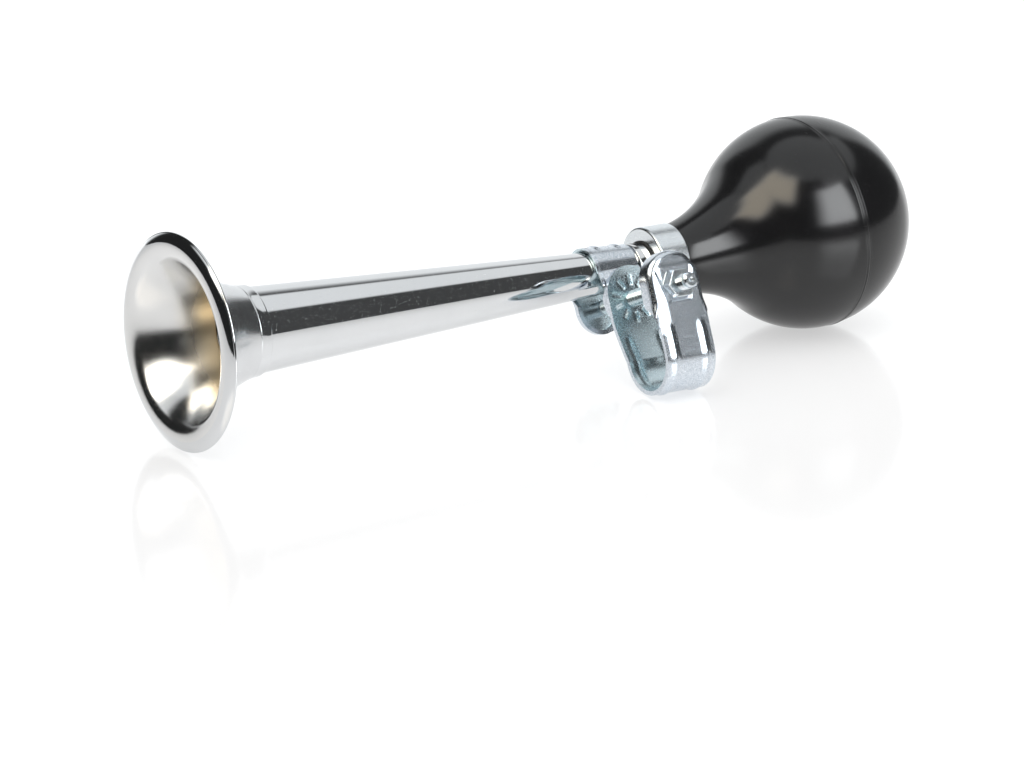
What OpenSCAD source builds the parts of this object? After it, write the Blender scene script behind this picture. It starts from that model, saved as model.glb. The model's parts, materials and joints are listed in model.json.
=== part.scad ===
// Bulb horn with a handlebar clamp, lying on its bell rim, its bulb and its clamp strap.
// Millimetres. X runs from the bell to the bulb, Z is up, and the floor is Z = 0.

/* [Bell and barrel] */
// Outside diameter of the rolled rim
bell_d = 77; // [74:0.5:80]
// Radius that the rim is rolled back to, on its front
lip_roll = 6.4; // [6:0.1:7]
// How far the rim is rolled back from the plane of the mouth, in degrees
lip_turn = 50; // [46:1:54]
// Thickness of the hem along the rim's edge
hem_d = 1.2; // [1:0.1:1.4]
// Plane of the rim's edge to the end of the collar that grips the barrel
bell_len = 27.4; // [26:0.2:29]
// Length of that collar
collar_len = 4.1; // [3.5:0.1:4.7]
// Slope of the flare where it leaves the collar, in degrees
flare_slope = 17; // [14:1:19]
// Sheet thickness of the bell and the barrel
horn_wall = 0.8; // [0.7:0.1:0.9]
// Barrel diameter at its wide end
barrel_d1 = 31.2; // [30.4:0.2:32]
// Barrel diameter at its narrow end
barrel_d2 = 13.9; // [13.7:0.1:14.3]
// Length of the barrel
barrel_len = 166.4; // [162:0.2:170]

/* [Neck joint] */
// Outside diameter of the socket on the end of the barrel
socket_d = 17; // [16.6:0.1:17.6]
// Length of barrel that the socket covers
socket_grip = 4; // [3.5:0.1:5]
// Thickness of the web that closes the socket
socket_web = 1.3; // [1:0.1:1.8]
// Diameter of the reed holder's spigot
spigot_d = 10; // [9.6:0.1:10.2]
// Thickness of the black washer
gasket_t = 0.8; // [0.6:0.1:1.2]
// Outside diameter of the ferrule
ferrule_d = 27.8; // [27:0.2:29]
// Length of the ferrule
ferrule_len = 11.7; // [10.5:0.1:13]
// Sheet thickness of the ferrule
ferrule_t = 0.8; // [0.7:0.1:1]

/* [Bulb] */
// Diameter of the round part of the bulb
bulb_d = 78.4; // [76:0.2:80]
// Ferrule mouth to the centre of the round part
bulb_reach = 61; // [59:0.5:64]
// Thickness of the rubber
bulb_wall = 3; // [2.4:0.1:3.4]
// Sideways lean of the soft neck, in degrees
bulb_yaw = 2; // [0:0.5:3]

/* [Reed] */
// Diameter of the reed holder's tube
holder_d = 11.2; // [10.8:0.1:12]
// Length of the reed holder's tube behind the ferrule
holder_len = 19.5; // [19:0.5:22]
// Diameter of the shallot that the reed beats on
shallot_d = 7.5; // [7.2:0.1:7.8]
// Length of the shallot
shallot_len = 34; // [32:0.5:36]
// Length of the shallot inside the holder
shallot_grip = 8; // [7:0.5:9]
// Height of the shallot's flat over its centre line
flat_h = 1; // [0.8:0.1:1.2]
// Thickness of the reed
reed_t = 0.3; // [0.25:0.05:0.4]
// Width of the reed
reed_w = 5.4; // [5:0.1:5.8]

/* [Clamp] */
// Clamp bolt to the narrow end of the barrel, along the barrel
clamp_back = 14; // [13.6:0.2:18]
// Sheet thickness of the saddle and the strap
sheet = 1.6; // [1.4:0.1:1.8]
// Length of the saddle along the barrel
saddle_len = 16.9; // [16:0.1:18]
// Half the gap between the saddle's ears
ear_in = 10.6; // [10.2:0.1:11.2]
// Radius of the saddle's round ears
ear_r = 9.3; // [9:0.1:9.8]
// Depth of the rim turned in round each ear
ear_rim = 3.6; // [3:0.1:4.5]
// Barrel centre line to the bolt
bolt_drop = 12.2; // [12:0.1:13]
// Width of the handlebar strap
strap_w = 20.4; // [19.5:0.1:21]
// Inside diameter of the strap's loop
loop_d = 23; // [22.6:0.1:24]
// Bolt to the centre of the loop
loop_drop = 23.3; // [23:0.1:26]
// Outer face of the strap's bolted end, from the barrel centre line
strap_reach = 42.9; // [42.5:0.1:45]
// Depth of the rim turned in round the strap's outer end
strap_rim = 7; // [6:0.1:8]
// Thread diameter of the clamp bolt
bolt_d = 6; // [5.8:0.1:6]
// Bolt length under its head
bolt_len = 65; // [64:0.5:68]
// Width across the flats of the nut and the bolt head
hex_af = 10; // [9.8:0.1:10.4]
// Thickness of the nut
nut_t = 5; // [4.6:0.1:5.4]

/* [Fits] */
// Radial room where one piece turns on another
run_fit = 0.06; // [0.04:0.01:0.09]
// Radial room between pieces that are pressed or screwed together
seat_fit = 0.04; // [0.03:0.01:0.06]
// Room between faces that slide past each other
face_gap = 0.1; // [0.08:0.01:0.15]
// How far the barrel slopes down towards the bulb as it lies, in degrees
lay_pitch = 1.12; // [0.8:0.02:1.3]

/* [Hidden] */
$fn = 96;

// Stations along the horn, from the rim plane
crease_s = bell_len - collar_len;
barrel_s = crease_s + 0.3;
barrel_end = barrel_s + barrel_len;
socket_s = barrel_end - socket_grip;
gasket_s = barrel_end + socket_web;
ferrule_s = gasket_s + gasket_t;
neck_s = ferrule_s + ferrule_len + 0.4;
flange_s = ferrule_s + ferrule_t;
flange_t = 0.15 * spigot_d;
holder_end = flange_s + holder_len;
shallot_s = holder_end - shallot_grip;
hinge_s = holder_end - 0.2 * shallot_d;
spigot_in = 0.7 * spigot_d;
clamp_s = barrel_end - clamp_back;

// Flare: an arc from the collar that runs into the rolled lip on a tangent, measured on the outside
barrel_slope = (barrel_d2 - barrel_d1) / 2 / barrel_len;
collar_r = barrel_r(crease_s) + seat_fit + horn_wall;
hem_r = hem_d / 2;
hem_ring = bell_d / 2 - hem_r;
roll_in = lip_roll - horn_wall;
mid_roll = lip_roll - horn_wall / 2;
roll_s = mid_roll * cos(lip_turn);
roll_y = hem_ring - mid_roll * sin(lip_turn);
roll_gap = pow(crease_s - roll_s, 2) + pow(collar_r - roll_y, 2) - pow(roll_in, 2);
roll_lean = roll_in + (crease_s - roll_s) * sin(flare_slope) + (collar_r - roll_y) * cos(flare_slope);
flare_r = -roll_gap / (2 * roll_lean);
flare_s = crease_s + flare_r * sin(flare_slope);
flare_y = collar_r + flare_r * cos(flare_slope);
join_a = atan2(flare_s - roll_s, flare_y - roll_y);

// How the horn lies
rim_z = hem_ring * cos(lay_pitch) + hem_r;
neck_z = rim_z - neck_s * sin(lay_pitch);
bulb_r = bulb_d / 2;
bulb_tilt = asin((bulb_r - neck_z) / bulb_reach) + lay_pitch;

// Bulb: a ball with a hollow-curved neck
ferrule_ri = ferrule_d / 2 - ferrule_t;
neck_r = ferrule_ri - 0.25;
neck_back = 3;
neck_tuck = 2;
stub_r = neck_r - 0.35;
stub_ri = neck_r - bulb_wall - 0.6;
neck_fil = (pow(bulb_reach + neck_back, 2) + pow(neck_r, 2) - pow(bulb_r, 2)) / (2 * (bulb_r - neck_r));

// Clamp, measured from the barrel centre line: out along the bolt, then down
bolt_r = bolt_d / 2 - run_fit;
leg_b = ear_in + sheet + face_gap;
loop_ri = loop_d / 2;
loop_ro = loop_ri + sheet;
loop_b = strap_reach - loop_ro;
loop_z = -bolt_drop - loop_drop;
rib_h = 0.7;
rib_w = 2;
rib_x = strap_w / 2 - 3.2;
end_up = 1.9;
recess = 0.5;
head_t = 4;
head_b = -(ear_in + sheet + face_gap);
tip_b = head_b + bolt_len;
jog_top = -bolt_drop - 9.5;
jog_end = jog_top - 5.5;
axis_z = rim_z - clamp_s * sin(lay_pitch);
drop_k = loop_ro + rib_h - (axis_z - (rib_x + rib_w / 2) * sin(lay_pitch)) / cos(lay_pitch);
roll = atan2(-loop_z, loop_b) + asin(drop_k / norm([loop_b, loop_z]));

// Middle of the whole part, so that the origin is under it
end_x = cos(lay_pitch) * neck_s
      + bulb_reach * cos(bulb_tilt - lay_pitch) * cos(bulb_yaw) + bulb_r;
front_x = roll_s * cos(lay_pitch) - lip_roll - roll_y * sin(lay_pitch);
mid_x = (end_x + front_x) / 2;
near_y = tip_b * cos(roll) + (bolt_drop + bolt_r - 1) * sin(roll);
far_y = bulb_r + bulb_reach * sin(bulb_yaw);
mid_y = (far_y - near_y) / 2;

function barrel_r(s) = barrel_d1 / 2 + barrel_slope * (s - barrel_s);

// Puts a piece drawn about the horn's centre line where it lies
module lay() {
  translate([-mid_x, -mid_y, rim_z])
    rotate([0, lay_pitch, 0])
      children();
}

// Turns a profile about the horn's centre line: across is radius, up is distance from the rim
module turned() {
  rotate([0, 90, 0])
    rotate_extrude()
      children();
}

// Puts a clamp piece at the bolt station, rolled round the barrel until the strap meets the floor
module clamp() {
  lay()
    translate([clamp_s, 0, 0])
      rotate([-roll, 0, 0])
        children();
}

// Extrudes a section drawn as distance along the bolt and height
module across(w) {
  rotate([90, 0, 90])
    translate([0, 0, -w / 2])
      linear_extrude(height = w)
        mirror([1, 0])
          children();
}

// Extrudes a side view from one distance along the bolt to another
module along_bolt(b1, b2) {
  translate([0, -b1, 0])
    rotate([90, 0, 0])
      linear_extrude(height = b2 - b1)
        children();
}

// Turns a profile about the bolt: across is radius, up is distance along the bolt
module about_bolt() {
  translate([0, 0, -bolt_drop])
    rotate([90, 0, 0])
      rotate_extrude()
        children();
}

module bolt_hole(b1, b2) {
  translate([0, 0, -bolt_drop])
    along_bolt(b1, b2)
      circle(r = bolt_d / 2);
}

// Part of a ring of sheet between two directions, which are measured from straight inward
module bend(y, s, r, a1, a2) {
  far = 2 * r;
  mid = (a1 + a2) / 2;
  translate([y, s])
    intersection() {
      difference() {
        circle(r = r);
        circle(r = r - horn_wall);
      }
      polygon([[0, 0],
               [-far * cos(a1), -far * sin(a1)],
               [-far * cos(mid), -far * sin(mid)],
               [-far * cos(a2), -far * sin(a2)]]);
    }
}

module bell_wall() {
  bend(flare_y, flare_s, flare_r + horn_wall, flare_slope, join_a);
  bend(roll_y, roll_s, lip_roll, join_a, 90 + lip_turn);
  // Sheet across the line where the two bends meet
  translate([roll_y - mid_roll * cos(join_a), roll_s - mid_roll * sin(join_a)])
    circle(r = 0.45 * horn_wall);
  polygon([[barrel_r(crease_s) + seat_fit, crease_s - 0.4],
           [collar_r, crease_s - 0.4],
           [collar_r, bell_len],
           [barrel_r(bell_len) + seat_fit, bell_len]]);
}

module bell() {
  color("silver")
    lay()
      turned() {
        bell_wall();
        translate([hem_ring, 0])
          circle(r = hem_r);
      }
}

module barrel() {
  color("gainsboro")
    lay()
      turned()
        polygon([[barrel_d1 / 2, barrel_s],
                 [barrel_d2 / 2, barrel_end],
                 [barrel_d2 / 2 - horn_wall, barrel_end],
                 [barrel_d1 / 2 - horn_wall, barrel_s]]);
}

module socket() {
  screw_r = spigot_d / 2 + seat_fit;
  color("silver")
    lay()
      turned() {
        polygon([[barrel_r(socket_s) + seat_fit, socket_s],
                 [socket_d / 2, socket_s],
                 [socket_d / 2, gasket_s],
                 [screw_r, gasket_s],
                 [screw_r, barrel_end + seat_fit],
                 [barrel_d2 / 2 + seat_fit, barrel_end + seat_fit]]);
        translate([screw_r, barrel_end - spigot_in - 1])
          square([horn_wall, spigot_in + 1.5]);
      }
}

module gasket() {
  color("black")
    lay()
      turned()
        translate([spigot_d / 2 + 0.3, gasket_s])
          square([socket_d / 2 + 0.5 - spigot_d / 2 - 0.3, gasket_t]);
}

module ferrule() {
  corner = 1.4;
  color("lightsteelblue")
    lay()
      turned() {
        translate([spigot_d / 2 + seat_fit, ferrule_s])
          square([ferrule_d / 2 - corner - spigot_d / 2 - seat_fit, ferrule_t]);
        translate([ferrule_ri, ferrule_s + corner])
          square([ferrule_t, ferrule_len - corner]);
        intersection() {
          difference() {
            translate([ferrule_d / 2 - corner, ferrule_s + corner])
              circle(r = corner);
            translate([ferrule_d / 2 - corner, ferrule_s + corner])
              circle(r = corner - ferrule_t);
          }
          translate([ferrule_d / 2 - corner, ferrule_s])
            square([corner, corner]);
        }
      }
}

// Half the section of the bulb behind the ferrule, grown or shrunk by the same amount all round
module pear(inset) {
  intersection() {
    union() {
      translate([0, bulb_reach])
        circle(r = bulb_r - inset);
      difference() {
        polygon([[0, -neck_back],
                 [neck_r + neck_fil, -neck_back],
                 [0, bulb_reach]]);
        translate([neck_r + neck_fil, -neck_back])
          circle(r = neck_fil + inset);
      }
    }
    translate([0, -neck_tuck])
      square([bulb_r, neck_tuck + bulb_reach + bulb_r]);
  }
}

module bulb() {
  stub_s = flange_s + 0.3;
  color("dimgray")
    lay()
      difference() {
        union() {
          turned()
            translate([0, stub_s])
              square([stub_r, neck_s + 1.5 - stub_s]);
          translate([neck_s, 0, 0])
            rotate([0, -bulb_tilt, bulb_yaw])
              turned()
                pear(0);
        }
        turned()
          translate([0, stub_s - 1])
            square([stub_ri, neck_s + 3 - stub_s]);
        translate([neck_s, 0, 0])
          rotate([0, -bulb_tilt, bulb_yaw])
            turned()
              pear(bulb_wall);
      }
}

module reed_holder() {
  bore = shallot_d / 2 + seat_fit;
  color("goldenrod")
    lay()
      turned()
        polygon([[bore, barrel_end - spigot_in],
                 [spigot_d / 2, barrel_end - spigot_in],
                 [spigot_d / 2, flange_s],
                 [socket_d / 2, flange_s],
                 [socket_d / 2, flange_s + flange_t],
                 [holder_d / 2, flange_s + flange_t],
                 [holder_d / 2, holder_end],
                 [bore, holder_end]]);
}

// The shallot is a round rod with a flat, hollowed from its front end
module shallot() {
  color("peru")
    lay()
      difference() {
        turned()
          translate([0, shallot_s])
            square([shallot_d / 2, shallot_len]);
        turned()
          translate([0, shallot_s - 1])
            square([shallot_d * 0.32, shallot_len - 0.5]);
        translate([shallot_s + 2, -shallot_d, flat_h])
          cube([shallot_len, 2 * shallot_d, shallot_d]);
      }
}

module reed() {
  color("gold")
    lay()
      translate([hinge_s - 1.5, -reed_w / 2, flat_h + face_gap])
        cube([shallot_s + shallot_len - 0.3 - hinge_s + 1.5, reed_w, reed_t]);
}

module reed_wedge() {
  color("darkgoldenrod")
    lay()
      intersection() {
        turned()
          translate([0, shallot_s + 2.2])
            square([shallot_d / 2, holder_end - shallot_s - 2]);
        translate([shallot_s, -shallot_d, flat_h + reed_t + 2 * face_gap])
          cube([shallot_d * 2, 2 * shallot_d, shallot_d]);
      }
}

// Side view of the saddle: straight over the barrel, round at the ears
module saddle_side() {
  translate([-saddle_len / 2, -5])
    square([saddle_len, 2 * bolt_drop]);
  polygon([[-saddle_len / 2, -5], [saddle_len / 2, -5],
           [ear_r, -bolt_drop], [-ear_r, -bolt_drop]]);
  translate([0, -bolt_drop])
    circle(r = ear_r);
}

module saddle_section(arch_ro) {
  difference() {
    circle(r = arch_ro);
    circle(r = barrel_d2 / 2 - 1);
    translate([-2 * arch_ro, -4 * arch_ro])
      square(4 * arch_ro);
  }
  for (m = [0, 1])
    mirror([m, 0])
      polygon([[arch_ro - sheet, 0.5],
               [arch_ro, 0.5],
               [ear_in + sheet, -5],
               [ear_in + sheet, -bolt_drop - ear_r],
               [ear_in, -bolt_drop - ear_r],
               [ear_in, -5],
               [arch_ro - sheet, 0]]);
}

module ear_rims() {
  for (m = [0, 1])
    mirror([0, m, 0])
      along_bolt(ear_in + sheet - ear_rim, ear_in + sheet)
        intersection() {
          translate([0, -bolt_drop])
            difference() {
              circle(r = ear_r);
              circle(r = ear_r - sheet * 0.8);
            }
          translate([-2 * ear_r, -bolt_drop - 2 * ear_r])
            square([4 * ear_r, 2 * ear_r + sheet * 1.875]);
        }
}

module saddle() {
  front_s = clamp_s - saddle_len / 2;
  rear_s = clamp_s + saddle_len / 2;
  arch_ro = barrel_r(front_s) + run_fit + sheet;
  color("lightblue")
    clamp() {
      difference() {
        union() {
          intersection() {
            across(2 * ear_r)
              saddle_section(arch_ro);
            along_bolt(-2 * ear_in, 2 * ear_in)
              saddle_side();
          }
          ear_rims();
        }
        translate([-saddle_len, 0, 0])
          rotate([0, 90, 0])
            cylinder(r1 = barrel_r(clamp_s - saddle_len) + run_fit,
                     r2 = barrel_r(clamp_s + saddle_len) + run_fit, h = 2 * saddle_len);
        bolt_hole(-2 * ear_in, 2 * ear_in);
      }
      for (x = [-4.4, 4.4])
        translate([x, 0, 0])
          rotate([90, 0, 90])
            rotate([0, 0, 70])
              rotate_extrude(angle = 62)
                translate([arch_ro - 0.2, 0])
                  circle(r = 0.9);
    }
}

// Side view of the strap: both ends are round
module strap_side(r) {
  translate([0, end_up - bolt_drop])
    circle(r = r);
  translate([-r, loop_z - 2 * loop_ro])
    square([2 * r, end_up - bolt_drop - loop_z + 2 * loop_ro]);
}

module strap_section() {
  top = end_up - bolt_drop + strap_w / 2;
  translate([leg_b, jog_top])
    square([sheet, top - jog_top]);
  polygon([[leg_b, jog_top],
           [leg_b + sheet, jog_top],
           [loop_b - loop_ri, jog_end],
           [loop_b - loop_ri, loop_z],
           [loop_b - loop_ro, loop_z],
           [loop_b - loop_ro, jog_end]]);
  half_ring(loop_ri, loop_ro);
  translate([loop_b + loop_ri, loop_z])
    square([sheet, top - loop_z]);
}

module half_ring(r1, r2) {
  translate([loop_b, loop_z])
    difference() {
      circle(r = r2);
      circle(r = r1);
      translate([-2 * r2, 0])
        square([4 * r2, 2 * r2]);
    }
}

// Pressed stiffening ribs that run round the outside of the loop
module rib_section() {
  half_ring(loop_ro - 0.4, loop_ro + rib_h);
  translate([loop_b + loop_ro - 0.4, loop_z])
    square([rib_h + 0.4, 9]);
  translate([loop_b - loop_ro - rib_h, loop_z])
    square([rib_h + 0.4, jog_end - loop_z]);
}

module strap() {
  color("powderblue")
    clamp()
      difference() {
        union() {
          intersection() {
            across(strap_w)
              strap_section();
            along_bolt(0, strap_reach + 1)
              strap_side(strap_w / 2);
          }
          along_bolt(strap_reach - strap_rim, strap_reach)
            intersection() {
              difference() {
                strap_side(strap_w / 2);
                strap_side(strap_w / 2 - sheet * 0.8);
              }
              translate([-strap_w, jog_top])
                square([2 * strap_w, 2 * strap_w]);
            }
          for (x = [-rib_x, rib_x])
            translate([x, 0, 0])
              across(rib_w)
                rib_section();
        }
        bolt_hole(0, strap_reach + 1);
        translate([-hex_af * 0.62, -strap_reach - 1, -bolt_drop - hex_af * 0.62])
          cube([hex_af * 1.24, 1 + recess, hex_af * 1.24]);
        translate([0, -leg_b - sheet, -bolt_drop])
          for (i = [0:9])
            rotate([0, 36 * i + 18, 0])
              translate([-0.85, -0.5, 4.7])
                cube([1.7, 1.2, 4]);
      }
}

// One link of the thread's outline for each turn
function thread(b, n) = [for (i = [0:n - 1]) each [[bolt_r - 0.45, b + i + 0.5], [bolt_r, b + i + 1]]];

module bolt() {
  outline = concat([[0, head_b], [bolt_r, head_b], [bolt_r, head_b + 2]],
                   thread(head_b + 2, 12),
                   [[bolt_r, strap_reach + nut_t]],
                   thread(strap_reach + nut_t, 4),
                   [[bolt_r, tip_b - 0.8], [bolt_r - 0.8, tip_b], [1, tip_b], [0, tip_b - 0.8]]);
  color("slategray")
    clamp() {
      about_bolt()
        polygon(outline);
      about_bolt_hex(head_b - head_t, head_t + 0.01);
    }
}

// A hexagon across the bolt with its outer corners turned off
module about_bolt_hex(b, t) {
  translate([0, 0, -bolt_drop])
    intersection() {
      along_bolt(b, b + t)
        circle(r = hex_af / sqrt(3), $fn = 6);
      translate([0, -b, 0])
        rotate([90, 0, 0])
          cylinder(r1 = hex_af * 0.51, r2 = hex_af * 0.51 + t, h = t);
    }
}

module nut() {
  nut_b = strap_reach - recess;
  color("lightslategray")
    clamp()
      difference() {
        translate([0, 0, -bolt_drop])
          intersection() {
            along_bolt(nut_b, nut_b + nut_t)
              circle(r = hex_af / sqrt(3), $fn = 6);
            translate([0, -nut_b, 0])
              rotate([90, 0, 0])
                cylinder(r1 = hex_af * 0.51 + nut_t, r2 = hex_af * 0.51, h = nut_t);
          }
        bolt_hole(nut_b - 1, nut_b + nut_t + 1);
      }
}

bell();
barrel();
socket();
gasket();
ferrule();
bulb();
reed_holder();
shallot();
reed();
reed_wedge();
saddle();
strap();
bolt();
nut();
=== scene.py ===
# %% [markdown]
# # A bulb horn in Blender
# The horn was built in CAD first. Its joints give every place here, and most sizes are the
# same as in the CAD.
# This lesson makes the surfaces: chromed sheet that was spun and rolled, zinc-plated strap that
# was pressed and bent, a turned ferrule, a threaded bolt and a moulded rubber bulb.
# Each step says what the piece is, how it could be made and why it is made this way.

import json
from math import atan2, cos, degrees, exp, hypot, pi, radians, sin, sqrt

import bmesh
import bpy
from mathutils import Matrix, Vector


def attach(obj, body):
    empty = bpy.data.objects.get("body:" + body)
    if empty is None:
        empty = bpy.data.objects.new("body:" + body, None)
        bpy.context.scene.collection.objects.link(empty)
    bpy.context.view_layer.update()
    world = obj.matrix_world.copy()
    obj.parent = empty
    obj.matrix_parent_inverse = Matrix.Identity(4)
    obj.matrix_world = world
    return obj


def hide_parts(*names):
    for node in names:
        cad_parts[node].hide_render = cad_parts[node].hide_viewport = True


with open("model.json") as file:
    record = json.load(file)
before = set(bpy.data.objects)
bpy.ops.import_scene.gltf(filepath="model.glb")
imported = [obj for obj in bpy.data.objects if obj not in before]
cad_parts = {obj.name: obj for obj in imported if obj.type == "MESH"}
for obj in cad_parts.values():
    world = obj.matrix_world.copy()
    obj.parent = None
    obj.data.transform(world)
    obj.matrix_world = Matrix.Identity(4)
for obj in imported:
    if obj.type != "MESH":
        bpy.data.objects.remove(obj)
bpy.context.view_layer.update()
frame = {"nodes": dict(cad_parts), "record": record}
joints = {j["name"]: j for j in frame["record"]["behaviour"]["joints"]}

# %% [markdown]
# ## The camera
# The photo was taken with a long lens a little above the table.
# Pitch, yaw and roll were fitted to the rim, the barrel's edges and the bulb, so the camera is
# set from these three angles and one point, not aimed by eye.

# %% Camera
PITCH, YAW, ROLL = 0.2909, 0.5797, -0.0112
CAMERA_AT = (-1.03208, -1.54682, 0.55718)
ahead = Vector((sin(YAW) * cos(PITCH), cos(YAW) * cos(PITCH), -sin(PITCH)))
level = Vector((cos(YAW), -sin(YAW), 0))
above = level.cross(ahead)
right = cos(ROLL) * level + sin(ROLL) * above
upward = cos(ROLL) * above - sin(ROLL) * level

lens = bpy.data.cameras.new("camera")
lens.lens = 191.0
lens.sensor_width = 36
lens.clip_end = 50
camera = bpy.data.objects.new("camera", lens)
bpy.context.scene.collection.objects.link(camera)
facing = Matrix((right, upward, -ahead)).transposed().to_4x4()
camera.matrix_world = Matrix.Translation(CAMERA_AT) @ facing
bpy.context.scene.camera = camera
print("camera lens", lens.lens)

# %% [markdown]
# ## Workbenches
# It is easier to turn a bell on a lathe than in the air, so each piece is drawn in millimetres
# on a bench of its own and a matrix carries it to its place.
# The horn's bench has X along the barrel from the rim's plane. The clamp's bench sits on the
# barrel, with Y away from the nut. The bolt's bench has X along the bolt. All three come from
# the joints of the CAD frame. The bulb's bench is the horn's, bent a little at the soft neck.

# %% Benches
CLAMP_S, NECK_S, BOLT_Z = 176.0, 204.2, -12.2
NECK_SIDEWAYS, NECK_UP = 2, 5.53735


def bench(x, y, origin):
    m = Matrix((x, y, x.cross(y))).transposed().to_4x4()
    m.translation = origin
    return m @ Matrix.Scale(0.001, 4)


along = Vector(joints["saddle_turn"]["axis"]).normalized()
through = Vector(joints["strap_swing"]["axis"]).normalized()
station = Vector(joints["saddle_turn"]["pos_m"])

HORN = bench(along, Vector((0, 1, 0)), station - along * CLAMP_S / 1000)
CLAMP = bench(along, -through, station)
BOLT = bench(through, along, CLAMP @ Vector((0, 0, BOLT_Z)))
BULB = (
    HORN
    @ Matrix.Translation((NECK_S, 0, 0))
    @ Matrix.Rotation(radians(NECK_SIDEWAYS), 4, "Z")
    @ Matrix.Rotation(radians(-NECK_UP), 4, "Y")
)
print("benches: horn, clamp, bolt, bulb")

# %% [markdown]
# ## Node helpers
# A shader is a net of small nodes. Four of them come up again and again: a sum, a range that is
# stretched to another range, a mix of two values, and a noise.
# Each gets a helper that makes the node, feeds it and hands back its output.

# %% Node helpers


def feed(tree, value, spot):
    if isinstance(value, bpy.types.NodeSocket):
        tree.links.new(value, spot)
    else:
        spot.default_value = value


def calc(tree, kind, *values):
    node = tree.nodes.new("ShaderNodeMath")
    node.operation = kind
    for value, spot in zip(values, node.inputs):
        feed(tree, value, spot)
    return node.outputs["Value"]


def stretch(tree, value, start, end, low=0.0, high=1.0, soft=False):
    node = tree.nodes.new("ShaderNodeMapRange")
    if soft:
        node.interpolation_type = "SMOOTHSTEP"
    numbers = {"From Min": start, "From Max": end, "To Min": low, "To Max": high}
    for name, number in numbers.items():
        node.inputs[name].default_value = number
    tree.links.new(value, node.inputs["Value"])
    return node.outputs["Result"]


def blend(tree, factor, a, b, kind="RGBA"):
    node = tree.nodes.new("ShaderNodeMix")
    node.data_type = kind
    for name, value in (("Factor", factor), ("A", a), ("B", b)):
        feed(tree, value, node.inputs[name])
    return node.outputs["Result"]


def noise(tree, where, scale, detail, rough=0.5):
    node = tree.nodes.new("ShaderNodeTexNoise")
    node.inputs["Detail"].default_value = detail
    node.inputs["Roughness"].default_value = rough
    feed(tree, scale, node.inputs["Scale"])
    tree.links.new(where, node.inputs["Vector"])
    return node.outputs["Fac"]


print("node helpers ready")

# %% [markdown]
# ## Shared finish details
# Plating is never even, and rubber and chrome pick up fine scratches.
# These three node groups are used by every material: one gives a fine grain and slow patches,
# one thin scratches that run two ways, and one the dust specks that show up in dark
# reflections. A group is built once and each material sets its own amounts.

# %% Grain group


def new_group(name, takes, gives):
    group = bpy.data.node_groups.new(name, "ShaderNodeTree")
    for way, labels in (("INPUT", takes), ("OUTPUT", gives)):
        for label in labels:
            group.interface.new_socket(label, in_out=way, socket_type="NodeSocketFloat")
    enter, leave = group.nodes.new("NodeGroupInput"), group.nodes.new("NodeGroupOutput")
    where = group.nodes.new("ShaderNodeTexCoord").outputs["Object"]
    return group, enter, leave, where


def grain_group():
    group, enter, leave, where = new_group(
        "surface_grain", ("Fine Scale", "Patch Scale"), ("Fine", "Patch")
    )
    for name, detail in (("Fine", 3), ("Patch", 5)):
        cloud = noise(group, where, enter.outputs[name + " Scale"], detail, 0.6)
        group.links.new(cloud, leave.inputs[name])
    return group


GRAIN = grain_group()
print("node group:", GRAIN.name)

# %% Scratch group
SCRATCH_LAYERS = ((0.4, (70, 1700, 1700)), (-0.9, (1500, 90, 1500)))
SCRATCH_EDGE = (0.68, 0.76)


def scratch_group():
    group, enter, leave, where = new_group("fine_scratches", ("Density",), ("Scratch",))
    layers = []
    for turn, squeeze in SCRATCH_LAYERS:
        place = group.nodes.new("ShaderNodeMapping")
        place.inputs["Rotation"].default_value = (turn, turn * 0.6, turn)
        place.inputs["Scale"].default_value = squeeze
        group.links.new(where, place.inputs["Vector"])
        streaks = noise(group, place.outputs["Vector"], 1, 1)
        layers.append(stretch(group, streaks, *SCRATCH_EDGE))
    lines = calc(group, "MAXIMUM", *layers)
    scaled = calc(group, "MULTIPLY", lines, enter.outputs["Density"])
    group.links.new(scaled, leave.inputs["Scratch"])
    return group


SCRATCH = scratch_group()
print("node group:", SCRATCH.name)

# %% Dust group
DUST_SCALE, DUST_EDGE = 2300, (0.62, 0.76)


def dust_group():
    group, enter, leave, where = new_group("dust_specks", ("Amount",), ("Dust",))
    specks = stretch(group, noise(group, where, DUST_SCALE, 2), *DUST_EDGE)
    scaled = calc(group, "MULTIPLY", specks, enter.outputs["Amount"])
    group.links.new(scaled, leave.inputs["Dust"])
    return group


DUST = dust_group()
print("node group:", DUST.name)

# %% [markdown]
# ## Materials
# One builder serves all finishes: a colour that drifts between two tones, a roughness range
# driven by the grain, the scratches and the dust, and a small bump.
# Only the numbers differ between chrome, satin, zinc, brass and rubber.

# %% Material builder
MIDDLE = (0.3, 0.7)
BUMP_DEEP = 0.0002


def effect(tree, group, values):
    node = tree.nodes.new("ShaderNodeGroup")
    node.node_tree = group
    for name, value in values.items():
        node.inputs[name].default_value = value
    return node.outputs


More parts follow.
